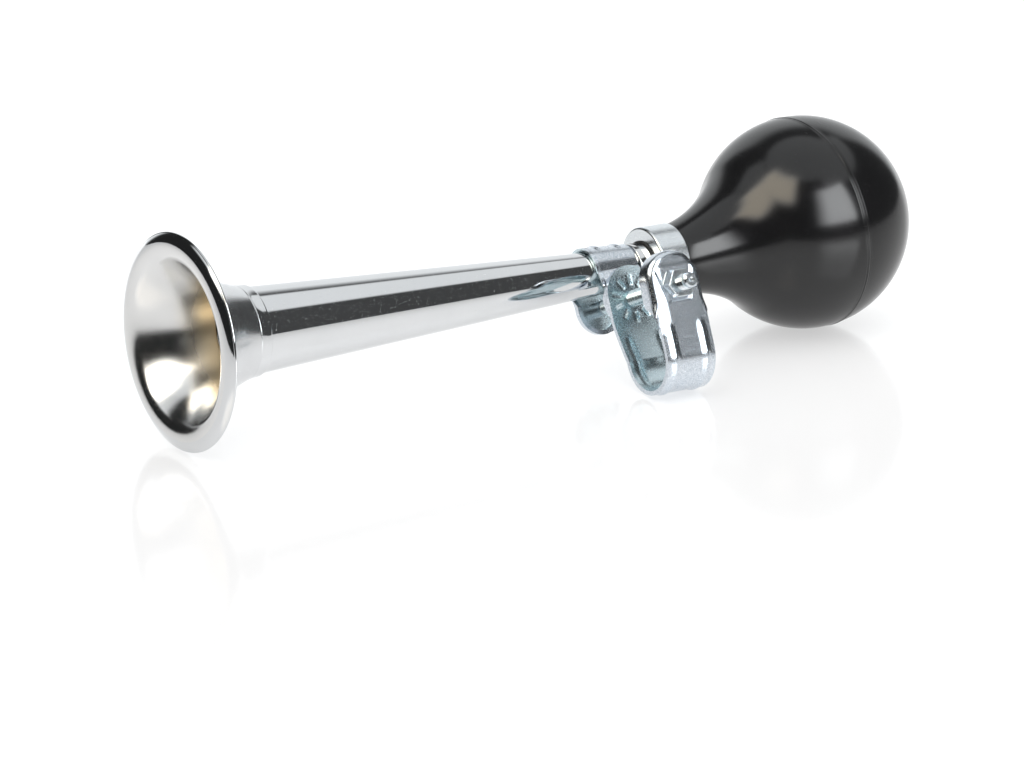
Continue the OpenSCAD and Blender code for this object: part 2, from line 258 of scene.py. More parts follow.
def finish(name, dark, light, rough, metal=1, fine=2500, patch=60, bump=0, scratch=0, dust=0):
    mat = bpy.data.materials.new(name)
    mat.use_nodes = True
    nt = mat.node_tree
    bsdf = nt.nodes["Principled BSDF"]
    bsdf.inputs["Metallic"].default_value = metal
    bsdf.inputs["IOR"].default_value = 1.5
    grain = effect(nt, GRAIN, {"Fine Scale": fine, "Patch Scale": patch})
    marks = effect(nt, SCRATCH, {"Density": scratch})
    specks = effect(nt, DUST, {"Amount": dust})

    drift = stretch(nt, grain["Patch"], *MIDDLE)
    nt.links.new(blend(nt, drift, (*dark, 1), (*light, 1)), bsdf.inputs["Base Color"])

    worn = stretch(nt, grain["Fine"], *MIDDLE, *rough)
    for wear in (marks["Scratch"], specks["Dust"]):
        worn = calc(nt, "ADD", worn, wear)
    nt.links.new(worn, bsdf.inputs["Roughness"])

    if bump:
        relief = nt.nodes.new("ShaderNodeBump")
        relief.inputs["Strength"].default_value = bump
        relief.inputs["Distance"].default_value = BUMP_DEEP
        nt.links.new(grain["Fine"], relief.inputs["Height"])
        nt.links.new(relief.outputs["Normal"], bsdf.inputs["Normal"])
    return mat


print("material builder ready")

# %% [markdown]
# Chrome is a clean mirror with a little dust. The inside of the bell is satin.
# Zinc plating is speckled and a little blue. The inner faces of the bent sheet take a rougher
# zinc of their own, whose greener tone is painted shade.

# %% Chrome, satin and brass
CHROME = finish(
    "chrome", (0.70, 0.71, 0.72), (0.75, 0.76, 0.77), (0.03, 0.06),
    fine=900, patch=20, scratch=0.06, dust=0.33,
)
LIP = finish(
    "chrome_lip", (0.65, 0.66, 0.67), (0.70, 0.71, 0.72), (0.05, 0.09),
    fine=900, patch=20, scratch=0.05, dust=0.2,
)
FLARE_SKIN = finish(
    "chrome_flare", (0.70, 0.71, 0.72), (0.76, 0.77, 0.78), (0.16, 0.24),
    fine=1500, patch=25, bump=0.02, scratch=0.05,
)
SATIN = finish(
    "satin_inside", (0.68, 0.68, 0.68), (0.73, 0.73, 0.72), (0.12, 0.18),
    fine=2300, patch=25, bump=0.14, scratch=0.05,
)
BRASS = finish(
    "brass", (0.66, 0.52, 0.32), (0.76, 0.63, 0.42), (0.22, 0.34),
    fine=1500, patch=60, bump=0.05, scratch=0.08,
)
print("chrome, satin and brass ready")

# %% Zinc and rubber
ZINC = finish(
    "zinc", (0.42, 0.49, 0.56), (0.90, 0.93, 0.97), (0.17, 0.25),
    fine=2600, patch=2400, bump=0.03, scratch=0.05,
)
# Painted shade: the greener tone of this zinc stands in for shade and dim reflections on inner
# faces; it is also rougher.
ZINC_PAINTED_SHADE = finish(
    "zinc_painted_shade", (0.56, 0.68, 0.72), (0.64, 0.74, 0.78), (0.24, 0.30),
    fine=2600, patch=900, bump=0.01, scratch=0.05,
)
ZINC_BRIGHT = finish(
    "zinc_bright", (0.70, 0.75, 0.78), (0.82, 0.85, 0.87), (0.22, 0.28),
    fine=2600, patch=1800, bump=0.01, scratch=0.06,
)
ZINC_BOLT = finish(
    "zinc_bolt", (0.50, 0.56, 0.59), (0.72, 0.75, 0.77), (0.15, 0.24),
    fine=3000, patch=900, bump=0.04, scratch=0.05,
)
RUBBER = finish(
    "bulb_rubber", (0.007, 0.007, 0.0075), (0.010, 0.010, 0.0105), (0.15, 0.19),
    metal=0, fine=4000, patch=50, bump=0.015, scratch=0.10,
)
WASHER = finish(
    "black_rubber", (0.010, 0.010, 0.010), (0.022, 0.022, 0.022), (0.50, 0.65),
    metal=0, fine=4000, patch=200, bump=0.12, scratch=0.05,
)
print("materials:", len(bpy.data.materials))

# %% [markdown]
# Towards the throat the plating inside the bell thins out and the brass below it shows.
# The satin is therefore mixed with a duller brass tone along the horn, by the place of each
# point.

# %% Warm throat
THROAT_FROM, THROAT_TO = 0.008, 0.020
THROAT_TONE, THROAT_ROUGH = (0.68, 0.60, 0.46), 0.33


def warm_throat(mat, start, end):
    nt = mat.node_tree
    bsdf = nt.nodes["Principled BSDF"]
    where = nt.nodes.new("ShaderNodeTexCoord")
    parts = nt.nodes.new("ShaderNodeSeparateXYZ")
    nt.links.new(where.outputs["Object"], parts.inputs["Vector"])
    depth = stretch(nt, parts.outputs["X"], start, end, soft=True)
    changes = (("Base Color", (*THROAT_TONE, 1), "RGBA"), ("Roughness", THROAT_ROUGH, "FLOAT"))
    for name, value, kind in changes:
        spot = bsdf.inputs[name]
        plated = spot.links[0].from_socket
        nt.links.new(blend(nt, depth, plated, value, kind), spot)


mouth_x = HORN.translation.x
warm_throat(SATIN, mouth_x + THROAT_FROM, mouth_x + THROAT_TO)
print("warm throat on", SATIN.name)

# %% [markdown]
# ## Putting a piece on the horn
# Every piece ends the same way: it goes from its bench to its place, its edges are marked sharp
# where the real one has an edge, it takes the place of its CAD node and rides on that node's
# body.

# %% Publish


def publish(name, bm, place, body, nodes, mats, sharp=32):
    bmesh.ops.transform(bm, matrix=place, verts=bm.verts)
    bmesh.ops.recalc_face_normals(bm, faces=bm.faces)
    for f in bm.faces:
        f.smooth = True
    for e in bm.edges:
        e.smooth = len(e.link_faces) != 2 or e.calc_face_angle() < radians(sharp)
    mesh = bpy.data.meshes.new(name)
    bm.to_mesh(mesh)
    bm.free()
    for m in mats:
        mesh.materials.append(m)
    obj = bpy.data.objects.new(name, mesh)
    bpy.context.scene.collection.objects.link(obj)
    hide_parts(*nodes)
    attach(obj, body)
    print(name, len(mesh.polygons), "faces on", body)
    return obj


print("ready to publish pieces")

# %% [markdown]
# ## Turned pieces
# A bell is spun over a former and a ferrule is turned, so both are one section swept round an
# axis.
# The section is a short list of corners and arcs in the plane of X and the radius, and the spin
# operator does the rest.

# %% Lathe


def arc(s, r, radius, start, end, steps):
    turn = [radians(start + (end - start) * k / steps) for k in range(steps + 1)]
    return [(s + radius * cos(a), r + radius * sin(a)) for a in turn]


def turned(section, steps=160, closed=True):
    bm = bmesh.new()
    verts = [bm.verts.new((s, 0, r)) for s, r in section]
    pairs = list(zip(verts, verts[1:]))
    if closed:
        pairs.append((verts[-1], verts[0]))
    edges = [bm.edges.new(p) for p in pairs]
    bmesh.ops.spin(
        bm,
        geom=verts + edges,
        cent=(0, 0, 0),
        axis=(1, 0, 0),
        angle=2 * pi,
        steps=steps,
        use_merge=True,
    )
    bmesh.ops.remove_doubles(bm, verts=bm.verts, dist=0.0005)
    return bm


print("lathe ready")

# %% [markdown]
# ## The bell
# The bell is 0.8 mm sheet: a collar that grips the barrel, a flare that opens on one arc, and a
# lip that is rolled back and ends in a thin hem.
# The lip's arc runs into the flare's arc on a tangent, so the section is a chain of arcs with no
# corner in it. The inside is satin, the lip is polished, and a small ridge marks where the
# collar meets the flare.

# %% Sizes of barrel and collar
WALL, FIT = 0.8, 0.04
BARREL_START, BARREL_END, BARREL_WIDE, BARREL_THIN = 23.6, 190.0, 15.6, 6.95
COLLAR_START, COLLAR_END, COLLAR_EDGE = 23.3, 27.4, 0.7
OPEN_S, OPEN_LONG, OPEN_BY = 25.3, 2.55, 0.142


def barrel_r(s):
    slope = (BARREL_WIDE - BARREL_THIN) / (BARREL_END - BARREL_START)
    return BARREL_WIDE - slope * (s - BARREL_START)


def collar_r(s):
    return barrel_r(s) + FIT + WALL + OPEN_BY * (max(0, OPEN_S - s) / OPEN_LONG) ** 2


print("barrel", BARREL_END - BARREL_START, "mm long")

# %% Bell section
FLARE_S, FLARE_R, FLARE = 42.39479, 78.91184, 65.30998
ROLL_S, ROLL_R, LIP_ROLL = 3.85673, 33.30373, 6.4
FLARE_BACK, FLARE_FRONT, JOIN, LIP_END = 252.4, 253, 229.8, 132.2
HEM, HEM_START, HEM_END, HEM_GAP_BACK, HEM_GAP_FRONT = 0.5, -84.7, 169.1, 3.1, 2.7
RIDGE_S, RIDGE = 22.95, ((0.15, 0.07), (0, 0.10), (-0.15, 0.07))

hem_s, hem_r = arc(ROLL_S, ROLL_R, LIP_ROLL - WALL / 2, LIP_END, LIP_END, 1)[0]
edge_s = COLLAR_END - COLLAR_EDGE
section = [(COLLAR_END, barrel_r(COLLAR_END) + FIT)]
section += arc(edge_s, collar_r(edge_s) - COLLAR_EDGE, COLLAR_EDGE, 0, 90, 8)
for s in (edge_s - 0.1 - 0.2 * k for k in range(18)):
    section.append((s, collar_r(s)))
for shift, high in RIDGE:
    section.append((RIDGE_S + shift, collar_r(RIDGE_S + shift) + high))
section += arc(FLARE_S, FLARE_R, FLARE, FLARE_BACK, JOIN, 44)
section += arc(ROLL_S, ROLL_R, LIP_ROLL - WALL, JOIN, LIP_END + HEM_GAP_BACK, 30)[1:]
section += arc(hem_s, hem_r, HEM, HEM_START, HEM_END, 24)
section += arc(ROLL_S, ROLL_R, LIP_ROLL, LIP_END + HEM_GAP_FRONT, JOIN, 44)
section += arc(FLARE_S, FLARE_R, FLARE + WALL, JOIN, FLARE_FRONT, 40)[1:]
section += [(COLLAR_START, barrel_r(COLLAR_START) + FIT)]
print("bell section of", len(section), "points")

# %% Bell
COLLAR_FROM, SATIN_TO, FLARE_FROM = 22.9, 34.3, 3


def on_front(s, r):
    if s > 0:
        return hypot(s - FLARE_S, r - FLARE_R) > FLARE + WALL / 2
    return hypot(s - ROLL_S, r - ROLL_R) > LIP_ROLL - WALL / 2


bm = turned(section, 240)
for f in bm.faces:
    c = f.calc_center_median()
    s, r = c.x, hypot(c.y, c.z)
    if s > COLLAR_FROM:
        f.material_index = 3
    elif on_front(s, r) and r < SATIN_TO:
        f.material_index = 1
    elif not on_front(s, r) and s > FLARE_FROM:
        f.material_index = 2
publish("bell_sheet", bm, HORN, "horn", ["bell"], [LIP, SATIN, FLARE_SKIN, CHROME])

# %% [markdown]
# ## Barrel, socket and washer
# The barrel is a long cone with no seam, plated outside and brass-toned inside.
# A short sleeve closes its narrow end, and a thin black washer sits between the sleeve and the
# ferrule.

# %% Barrel
BRASS_BELOW = 0.5

bm = turned(
    [
        (BARREL_START, BARREL_WIDE),
        (BARREL_END, BARREL_THIN),
        (BARREL_END, BARREL_THIN - WALL),
        (BARREL_START, BARREL_WIDE - WALL),
    ]
)
for f in bm.faces:
    c = f.calc_center_median()
    f.material_index = 1 if hypot(c.y, c.z) < barrel_r(c.x) - BRASS_BELOW else 0
publish("barrel_cone", bm, HORN, "horn", ["barrel"], [CHROME, BRASS])

# %% Socket and gasket
SLEEVE_START, SLEEVE_END, SLEEVE_R, SLEEVE_EDGE = 186.0, 191.3, 8.1, 0.4
NECK_BORE = 5.05
GASKET_S, GASKET_HALF, GASKET_IN, GASKET_OUT = 191.7, 0.38, 5.3, 8.7

shoulder = BARREL_END + 0.05
section = [(SLEEVE_START, barrel_r(SLEEVE_START) + FIT), (SLEEVE_START, SLEEVE_R)]
section += arc(SLEEVE_START + SLEEVE_EDGE, SLEEVE_R, SLEEVE_EDGE, 180, 90, 4)
section += arc(SLEEVE_END - SLEEVE_EDGE, SLEEVE_R, SLEEVE_EDGE, 90, 0, 4)
section += [(SLEEVE_END, NECK_BORE), (shoulder, NECK_BORE), (shoulder, BARREL_THIN + FIT)]
bm = turned(section, 96)
publish("socket_sleeve", bm, HORN, "horn", ["socket"], [CHROME])

section = [(GASKET_S - GASKET_HALF, GASKET_IN), (GASKET_S - GASKET_HALF, GASKET_OUT)]
section += arc(GASKET_S, GASKET_OUT, GASKET_HALF, 180, 0, 6)[1:]
section += [(GASKET_S + GASKET_HALF, GASKET_IN)]
bm = turned(section, 96)
publish("gasket_washer", bm, HORN, "horn", ["gasket"], [WASHER])

# %% [markdown]
# ## The ferrule
# A drawn cup holds the bulb's neck. Its front is flat and its edge is rounded, because sheet
# that is drawn over a die cannot turn a sharp corner.

# %% Ferrule
CUP_FRONT, CUP_BACK, CUP_OUT, CUP_IN = 192.1, 203.9, 13.9, 13.1
CUP_CORNER, CUP_CORNER_IN, CUP_EDGE = 0.9, 0.6, 0.4

section = [(CUP_FRONT, NECK_BORE), (CUP_FRONT, CUP_OUT - 1)]
section += arc(CUP_FRONT + CUP_CORNER, CUP_OUT - CUP_CORNER, CUP_CORNER, 180, 90, 12)
section += [(CUP_FRONT + 1.1, CUP_OUT), (CUP_BACK - 0.55, CUP_OUT)]
section += arc(CUP_BACK - CUP_EDGE, CUP_OUT - CUP_EDGE, CUP_EDGE, 90, 0, 5)
section += [(CUP_BACK, CUP_IN + 0.05), (CUP_FRONT + 1.5, CUP_IN)]
inside_s = CUP_FRONT + WALL
section += arc(inside_s + CUP_CORNER_IN, CUP_IN - CUP_CORNER_IN, CUP_CORNER_IN, 90, 180, 5)
section += [(inside_s, NECK_BORE)]
bm = turned(section, 128)
publish("ferrule_cup", bm, HORN, "horn", ["ferrule"], [ZINC_BRIGHT])

# %% [markdown]
# ## The bulb
# The bulb is moulded in two halves, so a fine raised line runs round its widest section, with a
# fainter line on either side.
# The outside is a ball that runs into the neck on one large fillet, and the wall is 3 mm of
# rubber. The section starts and ends on the axis, and the lines are small humps on the ball's
# arc, where the section has its points close together.

# %% Bulb
BALL, REACH, NECK, RUBBER_WALL = 39.2, 61.0, 12.85, 3.0
NECK_FROM = 3
LINE_HIGH, MOULD_LINES = 0.20, ((90, 0.4, 1), (91.5, 0.2, 0.3), (88.6, 0.2, 0.2))
LINES_FROM, LINES_TO = 92, 88
FILLET = ((REACH + NECK_FROM) ** 2 + NECK**2 - BALL**2) / (2 * (BALL - NECK))
lean = degrees(atan2(NECK + FILLET, REACH + NECK_FROM))


def hump(d, width):
    return exp(-((d / width) ** 2))


def sweep(start, end, steps):
    return [start + (end - start) * k / steps for k in range(steps)]


def ball(radius, ridge):
    turns = sweep(180 - lean, LINES_FROM, 24) + sweep(LINES_FROM, LINES_TO, 40)
    turns += sweep(LINES_TO, 0, 44) + [0]
    points = []
    for a in turns:
        d = radius + ridge * sum(high * hump(a - at, width) for at, width, high in MOULD_LINES)
        points.append((REACH + d * cos(radians(a)), d * sin(radians(a))))
    return points


def neck(radius, start, steps):
    return arc(-NECK_FROM, NECK + FILLET, radius, start, 360 - lean, steps)[:-1]


outer = neck(FILLET, 271.1, 26) + ball(BALL, LINE_HIGH)
inner = neck(FILLET + RUBBER_WALL, 271.05, 20) + ball(BALL - RUBBER_WALL, 0)
outer[-1], inner[-1] = (REACH + BALL, 0), (REACH + BALL - RUBBER_WALL, 0)
bm = turned(outer[::-1] + inner, 176, closed=False)
publish("bulb_pear", bm, BULB, "horn", ["bulb"], [RUBBER], 50)

# %% [markdown]
# ## Pressed sheet
# The saddle and the strap start as flat blanks. A grid is the blank, a path in the plane across
# the horn says how it is bent, and the press then moves its points: notches, ribs and pockets
# are all small functions of place.

# %% Blank


def even(points, step):
    path, left = [points[0]], step
    for (b0, z0), (b1, z1) in zip(points, points[1:]):
        gap = hypot(b1 - b0, z1 - z0)
        while gap > left:
            b0, z0 = b0 + (b1 - b0) * left / gap, z0 + (z1 - z0) * left / gap
            path.append((b0, z0))
            gap, left = gap - left, step
        left -= gap
    if hypot(points[-1][0] - path[-1][0], points[-1][1] - path[-1][1]) < step / 2:
        path.pop()
    return path + [points[-1]]


def blank(path, half, columns):
    bm = bmesh.new()
    rows = len(path) - 1
    bmesh.ops.create_grid(bm, x_segments=columns, y_segments=rows, size=1)
    for v in bm.verts:
        b, z = path[round((v.co.y + 1) / 2 * rows)]
        v.co = (half * v.co.x, -b, z)
    return bm


def ease(t):
    t = min(1, max(0, t))
    return t * t * (3 - 2 * t)


print("blanks ready")

# %% [markdown]
# Folding an edge is a run of short extrusions that follow a quarter of a circle.
# The thickness comes last, from a Solidify modifier, so both faces follow the press as they do
# in real sheet. Its material offset gives the inner faces the rougher zinc whose greener tone is
# painted shade.

# %% Fold and thickness
FOLD_STEPS = 5
EDGE_ROUND, EDGE_ANGLE = 0.00028, 50


def fold(bm, edges, out, inward, bend, depth, lean=lambda co: 0):
    for k in range(FOLD_STEPS + 1):
        made = bmesh.ops.extrude_edge_only(bm, edges=edges)["geom"]
        fresh = {g for g in made if isinstance(g, bmesh.types.BMVert)}
        made_edges = [g for g in made if isinstance(g, bmesh.types.BMEdge)]
        edges = [e for e in made_edges if all(v in fresh for v in e.verts)]
        for v in fresh:
            if k == FOLD_STEPS:
                v.co += inward(v.co) * depth(v.co)
                continue
            size, first = bend(v.co), lean(v.co)
            a = first + (pi / 2 - first) * k / FOLD_STEPS
            b = first + (pi / 2 - first) * (k + 1) / FOLD_STEPS
            sideways, down = size * (sin(b) - sin(a)), size * (cos(a) - cos(b))
            v.co += out(v.co) * sideways + inward(v.co) * down
    bmesh.ops.remove_doubles(bm, verts=bm.verts, dist=0.02)


def plate(obj, thickness):
    solid = obj.modifiers.new("thickness", "SOLIDIFY")
    solid.thickness = thickness / 1000
    solid.offset = 0
    solid.use_even_offset = False
    # The inner faces take the second slot, the zinc whose greener tone is painted shade.
    solid.material_offset = 1
    rounded = obj.modifiers.new("rounded", "BEVEL")
    rounded.width = EDGE_ROUND
    rounded.segments = 2
    rounded.limit_method = "ANGLE"
    rounded.angle_limit = radians(EDGE_ANGLE)
    rounded.harden_normals = True


print("press tools ready")

# %% [markdown]
# ## The saddle
# The saddle bends over the barrel and ends in two round ears for the bolt.
# Over the barrel it tapers with the cone. Two short ribs are pressed into its top, its front
# edge turns out a little and each ear has a rim folded in, which is what makes thin strap stiff
# enough for a clamp.

# %% Saddle blank
SHEET, SEAT, EAR_B, EAR_R, BAND = 1.6, 0.06, 11.4, 9.3, 8.45
EAR_MID, EAR_BEND, EAR_DEEP = EAR_R - SHEET / 2, 1.3, 3.6
EAR_TOP, WIDEN_Z, FRONT_BEND, FRONT_DEEP = -6.5, -3.5, 0.5, 0.25
RIB_X, RIB_WIDE, RIB_HIGH, RIB_FROM, RIB_TO = 4.4, 0.9, 0.5, 52, 128
ARCH = barrel_r(CLAMP_S - BAND) + SEAT + SHEET / 2


def ear_fold(co):
    return EAR_BEND * ease((EAR_TOP - co.z) / 4)


def saddle_half(co):
    wider = (EAR_MID - BAND) * ease((WIDEN_Z - co.z) / (WIDEN_Z - BOLT_Z))
    half = BAND + wider - ear_fold(co)
    return sqrt(max(half**2 - min(0, co.z - BOLT_Z) ** 2, 0))


low = BOLT_Z - EAR_MID + EAR_BEND + 0.03
leg = [(-EAR_B, low), (-EAR_B, EAR_TOP), (-EAR_B + 0.25, -5.2)]
leg += [(-ARCH - 0.5, -1.6), (-ARCH - 0.05, -0.4)]
crown = [(-ARCH * cos(radians(a)), ARCH * sin(radians(a))) for a in range(2, 179, 4)]
path = even(leg + crown + [(-b, z) for b, z in leg[::-1]], step=0.42)
bm = blank(path, BAND, columns=42)
print("saddle blank of", len(bm.verts), "points")

# %% Saddle press
for v in bm.verts:
    x, b, z = v.co.x, -v.co.y, v.co.z
    taper = (barrel_r(CLAMP_S + x) + SEAT + SHEET / 2) / ARCH
    v.co.y *= 1 + (taper - 1) * ease((z + 5) / 5)
    if z > 0:
        v.co.z *= taper
        turn = degrees(atan2(z, b))
        ends = ease((turn - RIB_FROM) / 10) * ease((RIB_TO - turn) / 10)
        rib = RIB_HIGH * hump(abs(x) - RIB_X, RIB_WIDE) * ends
        v.co += Vector((0, -b, z)).normalized() * rib
    v.co.x *= saddle_half(v.co) / BAND

rims = [e for e in bm.edges if e.is_boundary]
ear_edges = [e for e in rims if all(v.co.z < EAR_TOP - 0.1 for v in e.verts)]
front = [e for e in rims if all(v.co.z > EAR_TOP and v.co.x < 0 for v in e.verts)]
print("saddle edges:", len(ear_edges), "on the ears,", len(front), "in front")

# %% Saddle


def ear_out(co):
    if co.z < BOLT_Z:
        return Vector((co.x, 0, co.z - BOLT_Z)).normalized()
    return Vector((1 if co.x > 0 else -1, 0, 0))


def ear_in(co):
    return Vector((0, -1 if co.y > 0 else 1, 0))


def ear_depth(co):
    return (EAR_DEEP - SHEET / 2 - EAR_BEND) * ease((EAR_TOP - co.z) / 4)


def front_out(co):
    return Vector((0, co.y, max(co.z, 0))).normalized() * ease((co.z - EAR_TOP) / 4)


fold(bm, ear_edges, ear_out, ear_in, ear_fold, ear_depth)
fold(
    bm,
    front,
    lambda co: Vector((-1, 0, 0)),
    front_out,
    lambda co: FRONT_BEND,
    lambda co: FRONT_DEEP,
)
saddle = publish(
    "saddle_sheet", bm, CLAMP, "saddle", ["saddle"], [ZINC, ZINC_PAINTED_SHADE], 60
)
plate(saddle, SHEET)

# %% [markdown]
# ## The strap
# The strap starts on the bolt, jogs outward, loops under the handlebar and comes back up to the
# nut.
# Its first end is pressed with ten radial notches. Two ribs stiffen the loop, and the last end
# is a dish: a deep rim folded in all round, domed towards its left side, with a shallow pocket
# that keeps the nut from turning.

# %% Strap blank
HALF, LEFT_B, RIGHT_B, LOOP_B, LOOP_Z, LOOP = 10.2, 13.1, 42.1, 29.8, -35.5, 12.3
JOG_Z, JOG_LONG = -19.5, 15.5
END_Z = BOLT_Z + 1.9
RIM, RIM_BEND, RIM_DEEP, RIM_FROM = 10.0, 1.4, 6.2, -23.5

points = [(LEFT_B, END_Z + HALF - 0.03), (LEFT_B, JOG_Z)]
for k in range(1, 13):
    outward = (LOOP_B - LOOP - LEFT_B) * (k / 12) ** 1.2
    points.append((LEFT_B + outward, JOG_Z - JOG_LONG * k / 12))
for a in range(180, 361, 4):
    points.append((LOOP_B + LOOP * cos(radians(a)), LOOP_Z + LOOP * sin(radians(a))))
points += [(RIGHT_B, END_Z + RIM - RIM_BEND - 0.03)]
bm = blank(even(points, step=0.3), HALF, columns=80)
print("strap blank of", len(bm.verts), "points")

# %% [markdown]
# Each press mark is a function of its own that says how far a point moves, so the loop that
# presses the blank stays short.

# %% Strap marks
INNER_LEG_B, OUTER_LEG_B, LEG_LOW = 20, 38, -24
DOME_B, DOME_LOW, DOME_FROM, DOME = 34, -31, 5.0, 9.0
LOOP_RIB_X, LOOP_RIB_WIDE, LOOP_RIB_HIGH, LOOP_RIB_TOP = 6.6, 1.1, 0.45, -24.5
NOTCHES, NOTCH_DEEP, NOTCH_WIDE, NOTCH_IN, NOTCH_OUT = 10, 0.52, 0.65, 4.4, 9.0
POCKET_DEEP, POCKET_HALF, POCKET_LOW, POCKET_HIGH = 0.4, 5.3, 6.1, 9.0


def rim_press(co):
    return ease((co.z - RIM_FROM) / 6) if co.y < -RIGHT_B + 8 else 0


def dome(x, z):
    return max(0, -DOME_FROM - x) ** 2 / (2 * DOME) * ease((z - DOME_LOW) / 7)


def loop_rib(x, b, z):
    away = Vector((0, LOOP_B - b, z - LOOP_Z if z < LOOP_Z else 0)).normalized()
    high = LOOP_RIB_HIGH * hump(abs(x) - LOOP_RIB_X, LOOP_RIB_WIDE)
    return away * high * ease((LOOP_RIB_TOP - z) / 5)


def notch(x, up):
    rho, turn = hypot(x, up), degrees(atan2(up, x))
    pitch = 360 / NOTCHES
    across = rho * sin(radians(turn % pitch - pitch / 2))
    return NOTCH_DEEP * hump(across, NOTCH_WIDE) * ease(rho - NOTCH_IN) * ease(NOTCH_OUT - rho)


def pocket(x, up):
    side = POCKET_HALF + 0.28 * (up + 5.7)
    ends = ease((up + POCKET_LOW) / 0.8) * ease((POCKET_HIGH - up) / 3.0)
    return POCKET_DEEP * ease((side - abs(x)) / 1.6) * ends


print("press marks: dome, ribs,", NOTCHES, "notches and a pocket")

# %% Strap press
for v in bm.verts:
    b, z = -v.co.y, v.co.z
    half = HALF - (HALF - RIM + RIM_BEND) * rim_press(v.co)
    if z > END_Z:
        half = sqrt(max(half**2 - (z - END_Z) ** 2, 0))
    v.co.x *= half / HALF
    x = v.co.x
    if b > DOME_B:
        v.co.y += dome(x, z)
    v.co += loop_rib(x, b, z)
    if b < INNER_LEG_B and z > LEG_LOW:
        v.co.y += notch(x, z - BOLT_Z)
    if b > OUTER_LEG_B and z > LEG_LOW:
        v.co.y += pocket(x, z - BOLT_Z)

rims = [e for e in bm.edges if e.is_boundary and all(v.co.y < -RIGHT_B + 4 for v in e.verts)]
rim_edges = [e for e in rims if all(v.co.z > RIM_FROM + 0.1 for v in e.verts)]
print("strap rim of", len(rim_edges), "edges")

# %% Strap


def rim_out(co):
    if co.z > END_Z:
        return Vector((co.x, 0, co.z - END_Z)).normalized()
    return Vector((1 if co.x > 0 else -1, 0, 0))


def rim_in(co):
    return Vector((0, 1, 0))


def rim_lean(co):
    past = max(0, -DOME_FROM - (RIM - RIM_BEND) * rim_out(co).x)
    return atan2(past, DOME) * rim_press(co)


def rim_fold(co):
    return RIM_BEND * rim_press(co) / (1 - sin(rim_lean(co)))


def rim_depth(co):
    return max(0, RIM_DEEP * rim_press(co) - co.y - RIGHT_B)


fold(bm, rim_edges, rim_out, rim_in, rim_fold, rim_depth, rim_lean)
strap = publish("strap_sheet", bm, CLAMP, "strap", ["strap"], [ZINC, ZINC_PAINTED_SHADE], 60)
plate(strap, SHEET)

# %% [markdown]
# ## Bolt and nut
# The thread is a real helix: one tooth of the section is spun with a step along the axis, so
# that each turn starts where the last one ended.
# A core inside it carries the chamfered tip with its small turning mark, and a six-sided prism
# makes the head and the nut. Between the legs of the strap the bolt takes the inner faces' zinc,
# whose greener tone there is painted shade, and it is rougher there too.

# %% Hexagon
ACROSS, HEX_EDGE = 10, 0.45


def prism(bm, start, depth):
    turn = Matrix.Translation((start + depth / 2, 0, 0)) @ Matrix.Rotation(pi / 2, 4, "Y")
    radius = ACROSS / 2 / cos(pi / 6)
    made = bmesh.ops.create_cone(
        bm, cap_ends=True, segments=6, radius1=radius, radius2=radius, depth=depth, matrix=turn
    )
    caps = {f for v in made["verts"] for f in v.link_faces if len(f.verts) == 6}
    bmesh.ops.bevel(
        bm,
        geom=list({e for f in caps for e in f.edges}),
        offset=HEX_EDGE,
        segments=2,
        profile=0.5,
        affect="EDGES",
        clamp_overlap=True,
        material=-1,
    )


print("hexagons", ACROSS, "mm across flats")

# %% Bolt
THREAD_PITCH, TEETH, TURN_STEPS, ROOT, CREST = 1.27, 44, 28, 2.3, 2.94
THREAD_X, TIP, TIP_R = -5, 52.7, 2.8
HEAD_X, HEAD_HIGH = -16.3, 4.0
# The span of the bolt between the strap's legs, which carries painted shade.
SHADED_FROM, SHADED_TO = -4, 42

shank = HEAD_X + HEAD_HIGH
section = [(TIP - 0.4, 0), (TIP - 0.4, 0.4), (TIP, 1.0), (TIP, 2.2)]
section += [(TIP - 0.6, TIP_R), (TIP - 1.5, TIP_R), (TIP - 1.6, ROOT + 0.1)]
section += [(THREAD_X, ROOT + 0.1), (THREAD_X, CREST), (shank, CREST), (shank, 0)]
bm = turned(section, 40, closed=False)
tooth = [(0, ROOT), (0.52, CREST), (0.68, CREST), (1.2, ROOT), (THREAD_PITCH, ROOT)]
verts = [bm.verts.new((THREAD_X + s, 0, r)) for s, r in tooth]
edges = [bm.edges.new(p) for p in zip(verts, verts[1:])]
bmesh.ops.spin(
    bm,
    geom=verts + edges,
    cent=(0, 0, 0),
    axis=(1, 0, 0),
    dvec=(THREAD_PITCH / TURN_STEPS, 0, 0),
    angle=2 * pi * (TEETH - 1),
    steps=TURN_STEPS * (TEETH - 1),
)
bmesh.ops.remove_doubles(bm, verts=bm.verts, dist=0.004)
prism(bm, HEAD_X, HEAD_HIGH)
# Faces in that span take the zinc whose greener tone is painted shade.
for f in bm.faces:
    f.material_index = 1 if SHADED_FROM < f.calc_center_median().x < SHADED_TO else 0
publish("bolt_thread", bm, BOLT, "bolt", ["bolt"], [ZINC_BOLT, ZINC_PAINTED_SHADE], 20)

# %% Nut
NUT_X, NUT_HIGH = 42.45, 4.3

bm = bmesh.new()
prism(bm, NUT_X, NUT_HIGH)
publish("nut_hex", bm, BOLT, "strap", ["nut"], [ZINC_BOLT], 15)

# %% [markdown]
# ## The reed inside
# The CAD shapes of the reed, its shallot, wedge and holder are right as they are, so they stay
# and take the brass.

# %% Brass inside
for name in ("reed_holder", "shallot", "reed", "reed_wedge"):
    node = frame["nodes"][name]
    node.data.materials.clear()
    node.data.materials.append(BRASS)
print("brass on the reed parts")

# %% [markdown]
# ## The table
# The horn lies on a white glossy table that ends not far in front of it.
# The table glows a little, more so at the back, so that from the photo's side it runs into the
# white behind it.

# %% Table
TABLE_HALF, TABLE_FRONT = 2.5, 0.43

